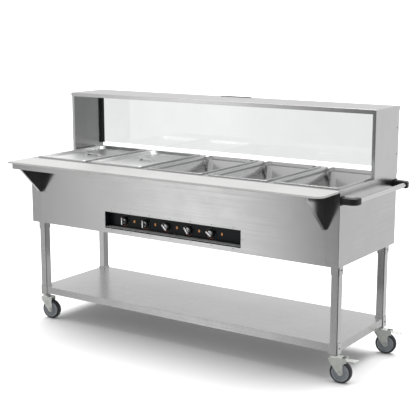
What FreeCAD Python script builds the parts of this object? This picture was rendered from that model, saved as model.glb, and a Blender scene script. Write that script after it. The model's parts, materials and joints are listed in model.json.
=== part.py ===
import FreeCAD, Part
import math
import os

os.makedirs("parts", exist_ok=True)
V = FreeCAD.Vector

# Driving dimensions in millimetres. X runs along the table, Y from the operator side to the
# guest side, Z up. While building, X = 0 is the middle of the body, Y = 0 its front face and
# Z = 0 the floor; saveNode moves each node so that the frame origin is the middle of the footprint.
sheet = 1.5
bendRound = 1.3
bodyHalf = 900.0
bodyDepth = 590.0
bodyBottom = 538.0
tableTop = 878.0
seamX = 838.0
seamGap = 0.5

panCount = 5
panPitch = 358.0
panLength = 530.0
panWidth = 325.0
panFront = 27.0
panDeep = 100.0
panSheet = 1.2
rimOverlap = 8.0
collarDrop = 14.0
bodyGap = 0.3

tankFloor = 690.0
tankRound = 6.0
tankWall = 1.2

panelHalf = 402.0
panelLow = 562.0
panelHigh = 646.0
panelLedge = 568.0
panelFace = 40.0
knobPitch = 130.0
knobStart = -306.0
knobHeight = 603.0
knobRadius = 20.0
shaftRadius = 3.0
shaftGap = 0.06
lampOffset = 61.0

boardFront = -176.0
boardThick = 9.7
boardRoundRight = 40.0
boardRoundLeft = 14.0
trayFront = -172.0
trayLeft = -864.0
trayRight = 826.0
trayTop = 868.0
trayLip = 843.0

guardFront = 334.0
guardHalf = 902.0
guardTop = 1196.0
guardFlange = 20.0
shelfHalf = 904.0
shelfFront = 331.0
shelfBack = 593.0
glassBottom = 903.0
glassFront = 574.0
glassThick = 5.0

legSide = 38.0
legOuter = 886.0
legFront = 36.0
socketWall = 3.0
socketGap = 0.1
socketDrop = 42.0
lowSocketBottom = 133.0
lowSocketTop = 184.0
underTop = 178.0
underLip = 142.0

wheelRadius = 51.0
casterTrail = 30.0
casterTurn = 10.0
forkTop = 121.0

handleX = 961.0
handleZ = 833.0
handleRadius = 11.5
handleOuter = 976.0

clipBack = 594.5
glandX = -700.0
glandZ = 592.0
glandBore = 5.0
glandFlange = 6.0
glandCap = 12.0
glandThread = 16.0
rearMost = bodyDepth + glandFlange + glandCap
originX = (handleOuter - shelfHalf) / 2
originY = (rearMost + boardFront) / 2

panCentres = [(i - (panCount - 1) / 2) * panPitch for i in range(panCount)]
knobCentres = [knobStart + i * knobPitch for i in range(panCount)]
legCentre = legOuter - legSide / 2
legRowFront = legFront + legSide / 2
legRowBack = bodyDepth - legRowFront


def box(x0, x1, y0, y1, z0, z1):
    return Part.makeBox(x1 - x0, y1 - y0, z1 - z0, V(x0, y0, z0))


def rod(start, direction, radius, length):
    return Part.makeCylinder(radius, length, start, direction)


def fuseAll(shapes):
    out = shapes[0]
    if len(shapes) > 1:
        out = out.fuse(shapes[1:])
    return out.removeSplitter()


def mirrorX(shape):
    return shape.mirror(V(0, 0, 0), V(1, 0, 0))


def mirrorY(shape):
    return shape.mirror(V(0, bodyDepth / 2, 0), V(0, 1, 0))


def fourCorners(shape):
    right = [shape, mirrorY(shape)]
    return right + [mirrorX(s) for s in right]


def prism(points, direction):
    return Part.Face(Part.makePolygon(points + [points[0]])).extrude(direction)


def roundUpright(shape, radius, test=None):
    edges = []
    for edge in shape.Edges:
        ends = edge.Vertexes
        if len(ends) != 2:
            continue
        span = ends[1].Point - ends[0].Point
        upright = abs(span.x) < 1e-6 and abs(span.y) < 1e-6 and abs(span.z) > 0.5
        if upright and (test is None or test(ends[0].Point)):
            edges.append(edge)
    return shape.makeFillet(radius, edges)


def roundedBlock(x0, x1, y0, y1, z0, z1, radius):
    return roundUpright(box(x0, x1, y0, y1, z0, z1), radius)


def roundedWire(cx, cy, z, width, length, radius):
    block = roundedBlock(cx - width / 2, cx + width / 2, cy - length / 2, cy + length / 2, z, z + 1, radius)
    for face in block.Faces:
        if abs(face.CenterOfMass.z - z) < 1e-6:
            return face.OuterWire
    raise ValueError("no lower face")


def taperedBlock(cx, cy, zLow, zHigh, low, high, radius):
    wires = [
        roundedWire(cx, cy, zLow, low[0], low[1], radius),
        roundedWire(cx, cy, zHigh, high[0], high[1], radius),
    ]
    return Part.makeLoft(wires, True, True)


def domeScrew(point, direction, radius, height):
    ball = (radius * radius + height * height) / (2 * height)
    unit = V(direction).normalize()
    sphere = Part.makeSphere(ball, point + unit * (height - ball))
    return sphere.common(rod(point, unit, radius + 1, height + 1))


def saveNode(name, shapes):
    solids = []
    for shape in shapes:
        solids.extend(shape.Solids)
    whole = solids[0] if len(solids) == 1 else Part.makeCompound(solids)
    whole = whole.copy()
    whole.translate(V(-originX, -originY, 0))
    whole.exportStep("parts/" + name + ".step")
    bad = [s for s in solids if not s.isValid() or s.Volume <= 0]
    print(name, len(solids), "solids", len(bad), "bad")


# The body: panels, top, wells, heaters and drain.

rimHalfX = panCentres[-1] + panWidth / 2 - rimOverlap
rimFrontY = panFront + rimOverlap + 1
rimBackY = panFront + panLength - rimOverlap - 1
cornerRound = 3.0
glandHole = 9.0


def makeTopSheet():
    under = tableTop - sheet
    low = tableTop - collarDrop
    strips = []
    longStrips = (
        (0, rimFrontY, rimFrontY - sheet, rimFrontY),
        (rimBackY, bodyDepth, rimBackY, rimBackY + sheet),
    )
    for y0, y1, c0, c1 in longStrips:
        flat = box(-bodyHalf, bodyHalf, y0, y1, under, tableTop)
        strips.append(fuseAll([flat, box(-rimHalfX, rimHalfX, c0, c1, low, under)]))
    for side in (-1, 1):
        x0, x1 = sorted((side * rimHalfX, side * bodyHalf))
        c0, c1 = sorted((side * rimHalfX, side * (rimHalfX + sheet)))
        flat = box(x0, x1, rimFrontY, rimBackY, under, tableTop)
        strips.append(fuseAll([flat, box(c0, c1, rimFrontY, rimBackY, low, under)]))
    return strips


def makeDividers():
    bars = []
    half = (panPitch - panWidth) / 2 + rimOverlap
    for i in range(panCount - 1):
        c = (panCentres[i] + panCentres[i + 1]) / 2
        low = tableTop - collarDrop
        outer = box(c - half, c + half, rimFrontY, rimBackY, low, tableTop)
        wall = half - sheet
        inner = box(c - wall, c + wall, rimFrontY - 1, rimBackY + 1, low - 1, tableTop - sheet)
        bars.append(outer.cut(inner))
    return bars


panelLip = 22.0
endLip = 28.0


def makeFrontPanel():
    edge = seamX - seamGap
    face = box(-edge, edge, 0, sheet, bodyBottom, tableTop - sheet)
    face = face.cut(box(-panelHalf, panelHalf, -1, sheet + 1, panelLow, panelHigh))
    floorLip = box(-edge, edge, sheet, panelLip, bodyBottom, bodyBottom + sheet)
    return fuseAll([face, floorLip])


def makeEndPanel():
    top = tableTop - sheet
    side = box(bodyHalf - sheet, bodyHalf, 0, bodyDepth, bodyBottom, top)
    front = box(seamX, bodyHalf, 0, sheet, bodyBottom, top)
    back = box(seamX, bodyHalf, bodyDepth - sheet, bodyDepth, bodyBottom, top)
    lip = box(bodyHalf - endLip, bodyHalf, 0, bodyDepth, bodyBottom, bodyBottom + sheet)
    shell = fuseAll([side, front, back, lip])
    outer = lambda p: p.x > bodyHalf - 0.1
    return roundUpright(shell, cornerRound - sheet, outer)


def makeRearPanel():
    edge = seamX - seamGap
    face = box(-edge, edge, bodyDepth - sheet, bodyDepth, bodyBottom, tableTop - sheet)
    lip = box(-edge, edge, bodyDepth - panelLip, bodyDepth - sheet, bodyBottom, bodyBottom + sheet)
    entry = rod(V(glandX, bodyDepth - panelLip, glandZ), V(0, 1, 0), glandHole, panelLip + 1)
    return fuseAll([face, lip]).cut(entry)


drainBack = 500.0
drainHole = 11.0
elementRadius = 4.0
elementZ = 714.0
elementLanes = (-100.0, -34.0, 34.0, 100.0)
pipeZ = 640.0
valveX = -760.0
valveY = 470.0
pipeHole = 12.0
panInset = 4.0


def makeBottomPan():
    x1 = bodyHalf - panInset
    low = bodyBottom + sheet
    plate = box(-x1, x1, panInset, bodyDepth - panInset, low, low + sheet)
    return plate.cut(rod(V(valveX, valveY, bodyBottom), V(0, 0, 1), pipeHole, 10))


def makeTank(cx):
    half = panWidth / 2 - rimOverlap + sheet
    y0 = rimFrontY - sheet
    y1 = rimBackY + sheet
    t = tankWall
    top = tableTop - collarDrop
    outer = roundedBlock(cx - half, cx + half, y0, y1, tankFloor, top, tankRound)
    wall = half - t
    inner = roundedBlock(cx - wall, cx + wall, y0 + t, y1 - t, tankFloor + t, top + 5, tankRound - t)
    cuts = [inner, rod(V(cx, drainBack, tankFloor - 1), V(0, 0, 1), drainHole, 5)]
    for lane in (elementLanes[0], elementLanes[-1]):
        cuts.append(rod(V(cx + lane, y0 - 2, elementZ), V(0, 1, 0), elementRadius + 0.05, 6))
    return outer.cut(cuts)


def makeElement(cx):
    nearY, farY = 80.0, 470.0
    pieces = []
    for i, lane in enumerate(elementLanes):
        start = 28.0 if i in (0, len(elementLanes) - 1) else nearY
        pieces.append(rod(V(cx + lane, start, elementZ), V(0, 1, 0), elementRadius, farY - start))
    for i in range(len(elementLanes) - 1):
        a, b = elementLanes[i], elementLanes[i + 1]
        bend = Part.makeTorus((b - a) / 2, elementRadius, V(cx + (a + b) / 2, 0, elementZ), V(0, 0, 1))
        keepFar = i % 2 == 0
        bend.translate(V(0, farY if keepFar else nearY, 0))
        y0 = farY if keepFar else nearY - 100
        pieces.append(bend.common(box(cx + a - 20, cx + b + 20, y0, y0 + 100, elementZ - 10, elementZ + 10)))
    return fuseAll(pieces)


def makeDrainPipes():
    pipes = [rod(V(cx, drainBack, pipeZ), V(0, 0, 1), drainHole, tankFloor - pipeZ) for cx in panCentres]
    runLength = panCentres[-1] - valveX + drainHole
    pipes.append(rod(V(valveX, drainBack, pipeZ), V(1, 0, 0), drainHole, runLength))
    pipes.append(rod(V(valveX, valveY, pipeZ), V(0, 1, 0), drainHole, drainBack - valveY))
    pipes.append(rod(V(valveX, valveY, 530), V(0, 0, 1), drainHole, pipeZ - 530))
    pipes.append(Part.makeSphere(drainHole, V(valveX, valveY, pipeZ)))
    pipes.append(Part.makeSphere(drainHole, V(valveX, drainBack, pipeZ)))
    return fuseAll(pipes)


valveZ = 506.0
valveBall = 17.0
unionRadius = 16.0
unionTop = 530.0
neckRadius = 8.0
neckReach = 24.0
stemRadius = 3.0
outletRadius = 12.0
outletBore = 8.0
outletEnd = valveX - 42.0
outletDepth = 20.0
leverLength = 92.0
leverThick = 3.0


def makeValve():
    centre = V(valveX, valveY, valveZ)
    body = Part.makeSphere(valveBall, centre)
    upper = rod(V(valveX, valveY, valveZ + 6), V(0, 0, 1), unionRadius, unionTop - valveZ - 6)
    outlet = rod(V(outletEnd, valveY, valveZ), V(1, 0, 0), outletRadius, valveX - outletEnd)
    collar = rod(V(outletEnd, valveY, valveZ), V(1, 0, 0), outletRadius + 2, 5)
    bore = rod(V(outletEnd - 1, valveY, valveZ), V(1, 0, 0), outletBore, outletDepth + 1)
    neck = rod(V(valveX, valveY - neckReach, valveZ), V(0, 1, 0), neckRadius, neckReach - 4)
    stemHole = rod(V(valveX, valveY - neckReach - 6, valveZ), V(0, 1, 0), stemRadius + shaftGap, 16)
    return fuseAll([body, upper, outlet, collar, neck]).cut([bore, stemHole])


def makeLever():
    y = valveY - neckReach - bodyGap
    tip = valveX + leverLength
    bar = roundedBarXZ(valveX - 9, tip, y - leverThick, y, valveZ, 16)
    grip = roundedBarXZ(valveX + 34, tip + 3, y - leverThick - 2.5, y + 2, valveZ, 20)
    stem = rod(V(valveX, y - 6, valveZ), V(0, 1, 0), stemRadius, 15)
    return fuseAll([bar, grip, stem])


def roundedBarXZ(x0, x1, y0, y1, zMid, height):
    r = height / 2
    core = box(x0 + r, x1 - r, y0, y1, zMid - r, zMid + r)
    ends = [rod(V(x, y0, zMid), V(0, 1, 0), r, y1 - y0) for x in (x0 + r, x1 - r)]
    return fuseAll([core] + ends)


def makeGland():
    ring = []
    for k in range(6):
        a = math.radians(60 * k)
        ring.append(V(glandX + 14 * math.cos(a), bodyDepth, glandZ + 14 * math.sin(a)))
    flange = prism(ring, V(0, glandFlange, 0))
    capStart = V(glandX, bodyDepth + glandFlange, glandZ)
    cap = Part.makeCone(12, 9, glandCap, capStart, V(0, 1, 0))
    thread = rod(V(glandX, bodyDepth - glandThread, glandZ), V(0, 1, 0), glandHole - 0.1, glandThread)
    nutStart = bodyDepth - sheet - 5
    nut = rod(V(glandX, nutStart, glandZ), V(0, 1, 0), 13, 5)
    bore = rod(V(glandX, bodyDepth - 40, glandZ), V(0, 1, 0), glandBore, 80)
    return fuseAll([flange, cap, thread, nut]).cut(bore)


# The control panel: recess, dials, knobs and lamps.

lampWide = 9.0
lampTall = 13.0


def lampBlock(cx, y0, y1, grow):
    w = lampWide / 2 + grow
    h = lampTall / 2 + grow
    block = box(cx - w, cx + w, y0, y1, knobHeight + 2 - h, knobHeight + 2 + h)
    edges = [e for e in block.Edges if abs(e.tangentAt(e.FirstParameter).y) > 0.9]
    return block.makeFillet(3.0, edges)


def makeControlBox():
    t = sheet
    outer = box(-panelHalf - t, panelHalf + t, sheet, panelFace + t, panelLedge - t, panelHigh + t)
    inner = box(-panelHalf, panelHalf, sheet - 1, panelFace, panelLedge, panelHigh)
    cuts = [inner]
    for x in knobCentres:
        cuts.append(rod(V(x, panelFace - 2, knobHeight), V(0, 1, 0), shaftRadius + 1, 8))
        cuts.append(lampBlock(x + lampOffset, panelFace - 2, panelFace + t + 2, 0.02))
    hem = box(-panelHalf - t, panelHalf + t, sheet, 2 * sheet, panelLow - 2 * t, panelLedge)
    return fuseAll([outer.cut(cuts), hem])


def makeDialPlates():
    plates = []
    for x in knobCentres:
        disc = rod(V(x, panelFace - 0.6, knobHeight), V(0, 1, 0), 28.5, 0.6)
        plates.append(disc.cut(rod(V(x, panelFace - 2, knobHeight), V(0, 1, 0), shaftRadius + 1, 4)))
    return plates


def makeThermostats():
    made = []
    y = panelFace + sheet
    for x in knobCentres:
        can = roundedBarXZ(x - 22, x + 22, y, y + 26, knobHeight, 34)
        tail = box(x - 8, x + 8, y + 26, y + 34, knobHeight - 8, knobHeight + 8)
        bore = rod(V(x, y - 1, knobHeight), V(0, 1, 0), shaftRadius + shaftGap, 15)
        made.append(fuseAll([can, tail]).cut(bore))
    return made


def makeKnob(x, turn):
    front = 11.0
    skirtBack = panelFace - 0.6 - 0.4
    skirt = Part.makeCone(knobRadius - 1, knobRadius, 5, V(x, skirtBack - 5, knobHeight), V(0, 1, 0))
    cap = Part.makeCone(knobRadius - 5, knobRadius - 4, 4, V(x, skirtBack - 9, knobHeight), V(0, 1, 0))
    bar = box(x - 5, x + 5, front, skirtBack - 4, knobHeight - knobRadius + 1, knobHeight + knobRadius - 1)
    upright = []
    for e in bar.Edges:
        if abs(e.tangentAt(e.FirstParameter).z) > 0.9 and e.CenterOfMass.y < front + 0.1:
            upright.append(e)
    bar = bar.makeFillet(3.0, upright)
    shaft = rod(V(x, skirtBack - 2, knobHeight), V(0, 1, 0), shaftRadius, 15)
    whole = fuseAll([skirt, cap, bar, shaft])
    whole.rotate(V(x, 0, knobHeight), V(0, 1, 0), turn)
    return whole


def makeLamps():
    made = []
    for x in knobCentres:
        lens = lampBlock(x + lampOffset, panelFace - 3, panelFace + sheet, 0)
        can = rod(V(x + lampOffset, panelFace + sheet, knobHeight + 2), V(0, 1, 0), 9, 20)
        made.append(fuseAll([lens, can]))
    return made


def makePanelScrews():
    made = []
    for k in range(-3, 4):
        for z in (panelHigh + 8.5, panelLow - 7):
            made.append(domeScrew(V(k * 120.0, 0, z), V(0, -1, 0), 2.6, 1.4))
    for x in (-panelHalf - 8, panelHalf + 8):
        made.append(domeScrew(V(x, 0, knobHeight), V(0, -1, 0), 2.6, 1.4))
    return made


# The cutting board, its tray and the brackets under it.

bracketTip = -168.0
bracketLow = 702.0
bracketFold = 32.0


def makeTray():
    plate = box(trayLeft, trayRight, trayFront, 0, trayTop - sheet, trayTop)
    lip = box(trayLeft, trayRight, trayFront, trayFront + sheet, trayLip, trayTop)
    back = box(trayLeft, trayRight, -sheet, 0, trayLip, trayTop)
    shell = fuseAll([plate, lip, back])
    edge = []
    for e in shell.Edges:
        c = e.CenterOfMass
        if abs(c.y - trayFront) < 0.1 and abs(c.z - trayTop) < 0.1:
            edge.append(e)
    return shell.makeFillet(bendRound, edge)


def makeBoard():
    z0 = trayTop + bodyGap
    back = -bodyGap
    block = box(-bodyHalf, bodyHalf, boardFront, back, z0, z0 + boardThick)
    block = roundUpright(block, boardRoundRight, lambda p: p.y < boardFront + 1 and p.x > 0)
    block = roundUpright(block, boardRoundLeft, lambda p: p.y < boardFront + 1 and p.x < 0)
    block = roundUpright(block, 6, lambda p: p.y > back - 1)
    rims = [f.OuterWire for f in block.Faces if abs(f.normalAt(0, 0).z) > 0.99]
    edges = [e for wire in rims for e in wire.Edges]
    return block.makeFillet(1.6, edges)


def makeBracket():
    top = trayTop - sheet
    x1 = seamX
    x0 = seamX - sheet
    outline = [
        V(x0, -sheet, top),
        V(x0, bracketTip, top),
        V(x0, bracketTip, top - 10),
        V(x0, -12, bracketLow),
        V(x0, -sheet, bracketLow),
    ]
    web = prism(outline, V(sheet, 0, 0))
    bodyFold = box(x1 - bracketFold, x1, -sheet, 0, bracketLow, trayLip - 2)
    topFold = box(x1 - 24, x1, bracketTip, -sheet, top - sheet, top)
    slope = V(0, bracketTip + 12, top - 10 - bracketLow)
    normal = V(0, -slope.z, slope.y).normalize()
    if normal.z > 0:
        normal = normal * -1
    a = V(x1 - 14, -12, bracketLow)
    b = a + slope
    inner = normal * -sheet
    hem = prism([a, b, b + inner, a + inner], V(14, 0, 0))
    return fuseAll([web, bodyFold, topFold, hem])


def makeBracketBolts():
    made = []
    for z in (716.0, 812.0):
        made.append(domeScrew(V(seamX - 22, -sheet, z), V(0, -1, 0), 5, 3))
    return made + [mirrorX(s) for s in made]


# The legs, their sockets and the undershelf.

def socketTube(z0, z1):
    half = legSide / 2 + socketWall
    hole = legSide / 2 + socketGap
    cx, cy = legCentre, legRowFront
    outer = roundedBlock(cx - half, cx + half, cy - half, cy + half, z0, z1, 4)
    return outer.cut(roundedBlock(cx - hole, cx + hole, cy - hole, cy + hole, z0 - 1, z1 + 1, 3))


def makeLeg():
    r = legSide / 2
    cx, cy = legCentre, legRowFront
    tube = roundedBlock(cx - r, cx + r, cy - r, cy + r, lowSocketBottom + socketWall, bodyBottom, 3)
    wall = r - 1.5
    return tube.cut(box(cx - wall, cx + wall, cy - wall, cy + wall, lowSocketBottom, bodyBottom + 1))


def makeLowSocket():
    half = legSide / 2 + socketWall
    cx, cy = legCentre, legRowFront
    top = lowSocketBottom + socketWall
    base = roundedBlock(cx - half, cx + half, cy - half, cy + half, lowSocketBottom, top, 4)
    return fuseAll([socketTube(lowSocketBottom, lowSocketTop), base])


def makeSocketBolts():
    half = legSide / 2 + socketWall
    made = []
    for z in (bodyBottom - socketDrop / 2, (lowSocketBottom + lowSocketTop) / 2):
        made.append(domeScrew(V(legCentre + half, legRowFront, z), V(1, 0, 0), 4.5, 3))
    out = []
    for s in made:
        out.extend(fourCorners(s))
    return out


hatX = 420.0
hatHalf = 20.0
hatDrop = 18.0


def makeUndershelf():
    x1 = legOuter
    y0, y1 = legFront - 2, bodyDepth - legFront + 2
    notchX = legCentre - legSide / 2 - socketWall - 0.5
    notchY = legRowFront + legSide / 2 + socketWall + 0.5
    plate = box(-x1, x1, y0, y1, underTop - sheet, underTop)
    lips = [
        box(-notchX, notchX, y0, y0 + sheet, underLip, underTop),
        box(-notchX, notchX, y1 - sheet, y1, underLip, underTop),
        box(x1 - sheet, x1, notchY, bodyDepth - notchY, underLip, underTop),
        box(-x1, -x1 + sheet, notchY, bodyDepth - notchY, underLip, underTop),
    ]
    hats = []
    for x in (-hatX, hatX):
        hat = box(x - hatHalf, x + hatHalf, y0 + sheet, y1 - sheet, underTop - hatDrop, underTop - sheet)
        wall = hatHalf - sheet
        hats.append(hat.cut(box(x - wall, x + wall, y0, y1, underTop - hatDrop - 2, underTop - 2 * sheet)))
    notch = box(notchX, x1 + 1, y0 - 1, notchY, underLip - 1, underTop + 1)
    shell = fuseAll([plate] + lips + hats).cut(fourCorners(notch))
    rims = []
    for e in shell.Edges:
        c = e.CenterOfMass
        longEnough = e.Length > 300
        onTop = abs(c.z - underTop) < 0.01
        onRim = abs(c.y - y0) < 0.01 or abs(c.y - y1) < 0.01 or abs(abs(c.x) - x1) < 0.01
        if longEnough and onTop and onRim:
            rims.append(e)
    return shell.makeFillet(bendRound, rims)


# The sneeze guard.

channelDeep = 22.0
channelWide = 13.0


def makeGuardEnd():
    x1 = guardHalf
    x0 = guardHalf - sheet
    top = guardTop - sheet
    back = bodyDepth
    wall = box(x0, x1, guardFront, back, tableTop, top)
    fold = box(x1 - 16, x1, guardFront, guardFront + sheet, tableTop, top)
    foot = box(x1 - 16, x1, guardFront, back, tableTop, tableTop + sheet)
    shell = fuseAll([wall, fold, foot])
    edges = []
    for e in shell.Edges:
        c = e.CenterOfMass
        if e.Length > 200 and abs(c.x - x1) < 0.01 and abs(c.y - guardFront) < 0.01:
            edges.append(e)
    return shell.makeFillet(bendRound, edges)


def makeGuardShelf():
    plate = box(-shelfHalf, shelfHalf, shelfFront, shelfBack, guardTop - sheet, guardTop)
    low = guardTop - guardFlange
    walls = [
        box(-shelfHalf, shelfHalf, shelfFront, shelfFront + sheet, low, guardTop),
        box(-shelfHalf, shelfHalf, shelfBack - sheet, shelfBack, low, guardTop),
        box(shelfHalf - sheet, shelfHalf, shelfFront, shelfBack, low, guardTop),
        box(-shelfHalf, -shelfHalf + sheet, shelfFront, shelfBack, low, guardTop),
        box(-shelfHalf + sheet, shelfHalf - sheet, shelfFront + sheet, shelfFront + 9, low, low + sheet),
    ]
    shell = fuseAll([plate] + walls)
    rims = []
    for e in shell.Edges:
        c = e.CenterOfMass
        if abs(c.z - guardTop) < 0.01:
            rims.append(e)
    ends = box(guardHalf - 16.2, guardHalf, shelfFront + sheet, guardFront + 6, low - 1, low + sheet + 1)
    return shell.makeFillet(bendRound, rims).cut([ends, mirrorX(ends)])


def makeGlass():
    edge = guardHalf - sheet - 4
    return box(-edge, edge, glassFront, glassFront + glassThick, glassBottom, guardTop - sheet - 4)


def makeChannel():
    x1 = guardHalf - sheet
    x0 = x1 - channelWide
    y1 = bodyDepth - 1
    y0 = y1 - channelDeep
    bar = box(x0, x1, y0, y1, glassBottom - 4, guardTop - sheet)
    slot = box(x0 - 1, x1 - 4, glassFront, glassFront + glassThick, glassBottom, guardTop)
    return bar.cut(slot)


def makeGlassClip():
    top = box(-92, 88, shelfBack - 14, clipBack, guardTop, guardTop + 2)
    drop = box(-92, 88, shelfBack, clipBack, guardTop - guardFlange, guardTop + 2)
    return fuseAll([top, drop])


def makeGuardScrews():
    made = []
    for k in range(-4, 5):
        for y in (366.0, 412.0):
            made.append(domeScrew(V(k * 197.0, y, guardTop), V(0, 0, 1), 3.2, 1.8))
    for side in (-1, 1):
        for y in (374.0, 463.0, 552.0):
            made.append(domeScrew(V(side * (shelfHalf - 10), y, guardTop), V(0, 0, 1), 3.6, 2.2))
        for z in (972.0, 1096.0):
            made.append(domeScrew(V(side * guardHalf, 575.0, z), V(side, 0, 0), 4.2, 1.6))
        for y in (24.0, 291.0):
            made.append(domeScrew(V(side * bodyHalf, y, tableTop - 6), V(side, 0, 0), 3.0, 1.4))
    for x in (-72.0, 58.0):
        made.append(domeScrew(V(x, shelfBack - 7, guardTop + 2), V(0, 0, 1), 3.2, 1.8))
    return made


# The push handle.

armWide = 30.0
armTall = 31.0


def makeHandleBracket():
    y0 = 4.0
    y1 = y0 + armWide
    z0 = handleZ - armTall / 2
    z1 = handleZ + armTall / 2
    bendX = handleOuter - armWide - 4
    bendY = y1 + 4
    foot = roundedFoot(bodyHalf, bodyHalf + 5, y0 - 2, y1 + 2, z0 - 4, z1 + 4)
    arm = box(bodyHalf, bendX, y0, y1, z0, z1)
    section = Part.Face(Part.makePolygon([
        V(bendX, y0, z0),
        V(bendX, y1, z0),
        V(bendX, y1, z1),
        V(bendX, y0, z1),
        V(bendX, y0, z0),
    ]))
    bend = section.revolve(V(bendX, bendY, 0), V(0, 0, 1), 90)
    cup = box(bendX + 4, handleOuter, bendY, bendY + 14, z0, z1)
    body = fuseAll([arm, bend, cup])
    soft = []
    for e in body.Edges:
        c = e.CenterOfMass
        flat = abs(c.z - z0) < 0.01 or abs(c.z - z1) < 0.01
        if flat and c.x > bodyHalf + 1 and c.y < bendY + 13.9:
            soft.append(e)
    body = body.makeFillet(6.0, soft)
    bore = rod(V(handleX, bendY + 2, handleZ), V(0, 1, 0), handleRadius, 20)
    return fuseAll([body, foot]).cut(bore)


def roundedFoot(x0, x1, y0, y1, z0, z1):
    plate = box(x0, x1, y0, y1, z0, z1)
    edges = [e for e in plate.Edges if abs(e.tangentAt(e.FirstParameter).x) > 0.9]
    return plate.makeFillet(5.0, edges)


def makeHandleTube():
    y0 = 4 + armWide + 4 + 2
    outer = rod(V(handleX, y0, handleZ), V(0, 1, 0), handleRadius, bodyDepth - 2 * y0)
    return outer.cut(rod(V(handleX, y0, handleZ), V(0, 1, 0), handleRadius - 1.5, bodyDepth - 2 * y0))


# The casters, built about the stem axis with the wheel trailing along +X.

hubHalf = 16.5
treadHalf = 15.0
axleRadius = 5.0
forkPlate = 3.0
forkInner = 17.5
axleLobe = 12.5
pedalPivotX = 50.0
pedalPivotZ = 107.0
pedalPin = 3.0
pedalReach = 107.0
pedalHalf = 17.0


def placeCaster(shape, cx, cy):
    out = shape.copy()
    out.rotate(V(0, 0, 0), V(0, 0, 1), casterTurn)
    out.translate(V(cx, cy, 0))
    return out


def makeStem():
    race = Part.makeCone(24, 19, 5.4, V(0, 0, forkTop + 0.6), V(0, 0, 1))
    collar = rod(V(0, 0, forkTop + 6), V(0, 0, 1), 13, lowSocketBottom - forkTop - 6)
    pin = rod(V(0, 0, forkTop - 8), V(0, 0, 1), 6, 9)
    nut = rod(V(0, 0, forkTop - 8), V(0, 0, 1), 9, 3)
    return fuseAll([race, collar, pin, nut])


def forkSide(withEar):
    # Leading edge slants from the crown to the axle; the trailing edge hooks out to carry the pedal.
    reach = 58.0 if withEar else 40.0
    ear = 98.0 if withEar else 104.0
    y0 = forkInner
    top = forkTop - 1
    lead = V(-24, y0, 104)
    low = V(casterTrail - axleLobe * 0.8, y0, wheelRadius - axleLobe * 0.6)
    back = V(casterTrail + axleLobe, y0, wheelRadius)
    waist = V(casterTrail + 11, y0, 84)
    hook = V((casterTrail + 11 + reach) / 2 - 2, y0, (84 + ear) / 2 + 4)
    outer = V(reach, y0, ear)
    lobe = V(casterTrail + axleLobe * 0.3, y0, wheelRadius - axleLobe * 0.954)
    edges = [
        Part.LineSegment(V(-24, y0, top), lead).toShape(),
        Part.LineSegment(lead, low).toShape(),
        Part.Arc(low, lobe, back).toShape(),
        Part.LineSegment(back, waist).toShape(),
        Part.Arc(waist, hook, outer).toShape(),
        Part.LineSegment(outer, V(reach, y0, top)).toShape(),
        Part.LineSegment(V(reach, y0, top), V(-24, y0, top)).toShape(),
    ]
    plate = Part.Face(Part.Wire(edges)).extrude(V(0, forkPlate, 0))
    press = prism([
        V(casterTrail - 9, y0 + forkPlate - 1.2, 66),
        V(casterTrail + 6, y0 + forkPlate - 1.2, 66),
        V(casterTrail + 6, y0 + forkPlate - 1.2, 104),
        V(casterTrail - 26, y0 + forkPlate - 1.2, 104),
    ], V(0, 5, 0))
    return plate.cut(press)


def makeFork(withEar):
    side = forkSide(withEar)
    other = side.mirror(V(0, 0, 0), V(0, 1, 0))
    width = forkInner + forkPlate
    crown = box(-24, 36, -width, width, forkTop - 4, forkTop)
    crown = roundUpright(crown, 6)
    throat = rod(V(0, 0, forkTop - 12), V(0, 0, 1), 6.08, 20)
    cup = rod(V(0, 0, forkTop - 12), V(0, 0, 1), 9.5, 7.6)
    axle = rod(V(casterTrail, -width - 5, wheelRadius), V(0, 1, 0), axleRadius - 0.05, 2 * width + 10)
    head = hexBolt(V(casterTrail, -width, wheelRadius), -1, 8, 4.5)
    nut = hexBolt(V(casterTrail, width, wheelRadius), 1, 8, 5)
    whole = fuseAll([side, other, crown, axle, head, nut]).cut([throat, cup])
    if withEar:
        pinRod = rod(V(pedalPivotX, -width - 1.5, pedalPivotZ), V(0, 1, 0), pedalPin, 2 * width + 3)
        whole = fuseAll([whole, pinRod])
    return whole


def hexBolt(point, sign, radius, height):
    ring = []
    for k in range(6):
        a = math.radians(60 * k)
        ring.append(V(point.x + radius * math.cos(a), point.y, point.z + radius * math.sin(a)))
    return prism(ring, V(0, sign * height, 0))


def revolveProfile(points):
    profile = [V(0, 0, 0) + V(0, y, r) for r, y in points]
    face = Part.Face(Part.makePolygon(profile + [profile[0]]))
    ring = face.revolve(V(0, 0, 0), V(0, 1, 0), 360)
    ring.translate(V(casterTrail, 0, wheelRadius))
    return ring


def makeHub():
    points = [
        (axleRadius, -hubHalf),
        (11, -hubHalf),
        (13, -hubHalf + 4),
        (20, -hubHalf + 7),
        (30, -hubHalf + 7),
        (34, -treadHalf + 3),
        (38, -treadHalf + 2),
        (38, treadHalf - 2),
        (34, treadHalf - 3),
        (30, hubHalf - 7),
        (20, hubHalf - 7),
        (13, hubHalf - 4),
        (11, hubHalf),
        (axleRadius, hubHalf),
    ]
    return revolveProfile(points)


def makeTyre():
    t = treadHalf
    points = [
        (38, -t + 2),
        (40, -t + 0.6),
        (45, -t),
        (48.5, -t + 1.5),
        (50.4, -t + 5),
        (wheelRadius, -t + 9),
        (wheelRadius, t - 9),
        (50.4, t - 5),
        (48.5, t - 1.5),
        (45, t),
        (40, t - 0.6),
        (38, t - 2),
    ]
    return revolveProfile(points)


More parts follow.
